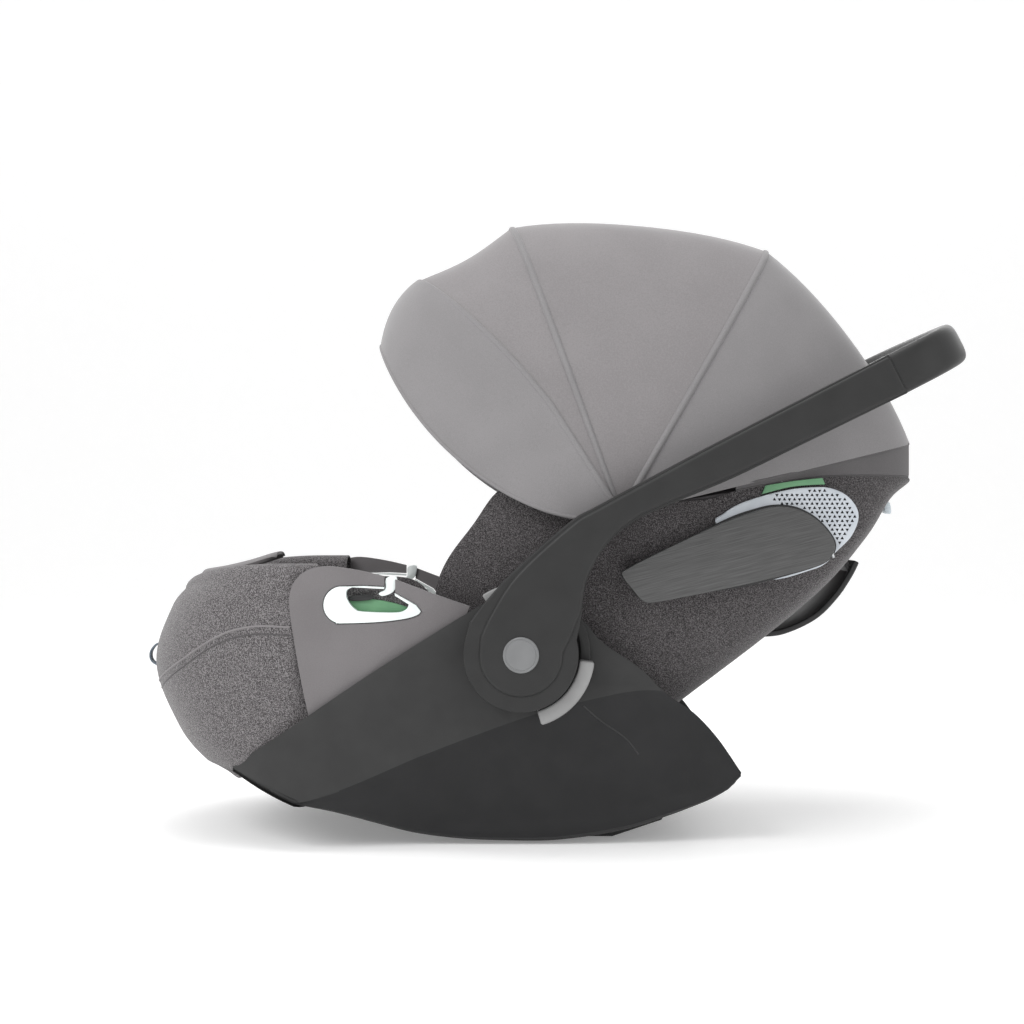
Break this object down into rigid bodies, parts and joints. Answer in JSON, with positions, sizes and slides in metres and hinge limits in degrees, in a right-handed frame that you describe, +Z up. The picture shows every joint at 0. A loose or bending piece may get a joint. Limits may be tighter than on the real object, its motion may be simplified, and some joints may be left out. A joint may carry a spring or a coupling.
{
  "type": "infant car seat",
  "caption": "Infant carrier with rocker base, reclining padded backrest, folding bow canopy, fold-out side flaps, harness and swing-over handle.",
  "frame": {"origin": "on the floor under the middle of the overall length and width", "axes": "+X towards the head end, +Y towards the child's right side, +Z up"},
  "size_m": [0.764, 0.4472, 0.5733],
  "materials": {
    "dark_plastic": "fine moulded texture, satin",
    "black_plastic": "moulded, matte",
    "light_plastic": "moulded, satin",
    "white_plastic": "moulded, satin",
    "silver_plastic": "silver lacquered",
    "brushed_grey": "brushed film",
    "green_mark": "matte",
    "red_plastic": "gloss",
    "steel": "drawn",
    "heather_fabric": "heather weave",
    "plain_fabric": "smooth weave",
    "canopy_fabric": "smooth weave",
    "webbing": "woven webbing",
    "ribbon": "grosgrain",
    "pale_fabric": "smooth"
  },
  "bodies": {
    "base": {"base_shell": "dark_plastic", "left_rocker_rail": "black_plastic", "right_rocker_rail": "black_plastic", "front_lock_bar": "steel", "rear_lock_bar": "steel", "left_hub_spindle": "steel", "right_hub_spindle": "steel", "left_side_panel": "plain_fabric", "right_side_panel": "plain_fabric", "left_belt_guide": "white_plastic", "right_belt_guide": "white_plastic", "foot_cover": "heather_fabric", "foot_flap": "plain_fabric", "foot_pull_loop": "ribbon", "seat_liner": "black_plastic", "leg_pad": "heather_fabric"},
    "adjuster": {"adjuster_button": "light_plastic"},
    "backrest": {"backrest_shell": "black_plastic", "backrest_cover": "heather_fabric", "back_pad": "heather_fabric", "left_trunnion": "steel", "right_trunnion": "steel", "canopy_band": "plain_fabric", "left_vent_grille": "silver_plastic", "right_vent_grille": "silver_plastic", "left_flap_pin": "steel", "right_flap_pin": "steel", "left_belt_mark": "green_mark", "right_belt_mark": "green_mark", "shoulder_belt_guide": "black_plastic", "rear_tab": "pale_fabric", "left_canopy_pivot": "black_plastic", "right_canopy_pivot": "black_plastic", "crotch_strap": "webbing", "buckle": "black_plastic"},
    "buckle_key": {"buckle_button": "red_plastic"},
    "headrest": {"headrest_shell": "light_plastic", "headrest_pad": "heather_fabric", "left_shoulder_strap": "webbing", "right_shoulder_strap": "webbing", "left_shoulder_pad": "heather_fabric", "right_shoulder_pad": "heather_fabric"},
    "left_flap": {"left_side_flap": "brushed_grey"},
    "right_flap": {"right_side_flap": "brushed_grey"},
    "canopy_rear": {"canopy_rear_bow": "steel", "canopy_rear_panel": "canopy_fabric"},
    "canopy_middle": {"canopy_middle_bow": "steel", "canopy_middle_panel": "canopy_fabric"},
    "canopy_front": {"canopy_front_bow": "steel", "canopy_front_panel": "canopy_fabric", "canopy_visor": "canopy_fabric"},
    "handle": {"left_handle_arm": "dark_plastic", "right_handle_arm": "dark_plastic", "handle_grip": "dark_plastic", "left_hub_cap": "light_plastic", "right_hub_cap": "light_plastic"},
    "left_release": {"left_release_button": "light_plastic"},
    "right_release": {"right_release_button": "light_plastic"}
  },
  "joints": [
    {"name": "recline", "type": "hinge", "parent": "base", "child": "backrest", "pos_m": [-0.02357, 0, 0.1748], "axis": [0, 1, 0], "range_deg": [0, 20]},
    {"name": "handle_swing", "type": "hinge", "parent": "base", "child": "handle", "pos_m": [-0.02357, 0, 0.1748], "axis": [0, -1, 0], "range_deg": [0, 110]},
    {"name": "left_release_press", "type": "slide", "parent": "handle", "child": "left_release", "axis": [0, 1, 0], "range_m": [0, 0.003], "stiffness_N_per_m": 800},
    {"name": "right_release_press", "type": "slide", "parent": "handle", "child": "right_release", "axis": [0, -1, 0], "range_m": [0, 0.003], "stiffness_N_per_m": 800},
    {"name": "left_flap_open", "type": "hinge", "parent": "backrest", "child": "left_flap", "pos_m": [0.24553, -0.1926, 0.269], "axis": [-0.309, 0, 0.9511], "range_deg": [0, 55]},
    {"name": "right_flap_open", "type": "hinge", "parent": "backrest", "child": "right_flap", "pos_m": [0.24553, 0.1926, 0.269], "axis": [0.309, 0, -0.9511], "range_deg": [0, 55]},
    {"name": "canopy_rear_fold", "type": "hinge", "parent": "backrest", "child": "canopy_rear", "pos_m": [0.06313, 0, 0.295], "axis": [0, 1, 0], "range_deg": [0, 44.2], "deforming": ["canopy_rear_panel"]},
    {"name": "canopy_fold", "type": "hinge", "parent": "canopy_rear", "child": "canopy_middle", "pos_m": [0.06313, 0, 0.295], "axis": [0, 1, 0], "range_deg": [0, 47.4], "deforming": ["canopy_middle_panel"]},
    {"name": "canopy_front_fold", "type": "hinge", "parent": "canopy_middle", "child": "canopy_front", "pos_m": [0.06313, 0, 0.295], "axis": [0, 1, 0], "range_deg": [0, 18.2], "deforming": ["canopy_front_panel"]},
    {"name": "headrest_height", "type": "slide", "parent": "backrest", "child": "headrest", "axis": [0.8192, 0, 0.5736], "range_m": [0, 0.07], "deforming": ["left_shoulder_strap", "right_shoulder_strap"]},
    {"name": "buckle_press", "type": "slide", "parent": "backrest", "child": "buckle_key", "axis": [0.3584, 0, -0.9336], "range_m": [0, 0.003], "stiffness_N_per_m": 600},
    {"name": "adjuster_press", "type": "slide", "parent": "base", "child": "adjuster", "axis": [0, 0, -1], "range_m": [0, 0.003], "stiffness_N_per_m": 600}
  ],
  "couplings": [
    {"joint": "canopy_front_fold", "follows": "canopy_fold", "ratio": 0.38395},
    {"joint": "canopy_rear_fold", "follows": "canopy_fold", "ratio": 0.93247}
  ]
}
